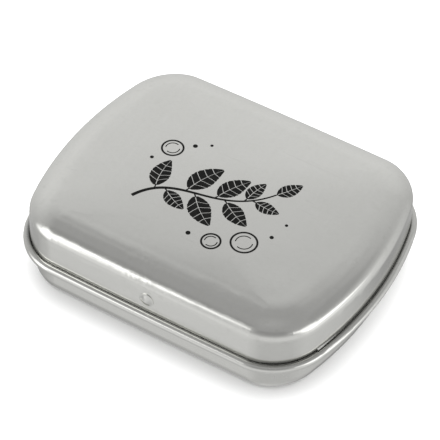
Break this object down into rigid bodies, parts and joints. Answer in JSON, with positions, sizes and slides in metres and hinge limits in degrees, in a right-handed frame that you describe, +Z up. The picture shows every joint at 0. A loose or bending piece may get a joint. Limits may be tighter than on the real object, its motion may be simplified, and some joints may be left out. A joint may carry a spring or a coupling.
{
  "type": "hinged tin",
  "caption": "Small flat hinged tin: a domed lid with soft rounded corners and a snap dimple closes on a drawn base tray with a rolled bead round it.",
  "frame": {"origin": "middle of the flat underside of the base tray", "axes": "+Z up out of the lid; +X to the right along the long side; -Y is the front with the snap dimple; the hinge runs along X at +Y"},
  "size_m": [0.0612, 0.049, 0.0162],
  "materials": {
    "tinplate": "satin bright tinplate",
    "pin_wire": "drawn wire"
  },
  "bodies": {
    "base": {"base_tray": "tinplate", "hinge_pin_left": "pin_wire", "hinge_pin_right": "pin_wire"},
    "lid": {"lid": "tinplate"}
  },
  "joints": [
    {"name": "lid_hinge", "type": "hinge", "parent": "base", "child": "lid", "pos_m": [0, 0.02368, 0.00875], "axis": [-1, 0, 0], "range_deg": [0, 114]}
  ]
}
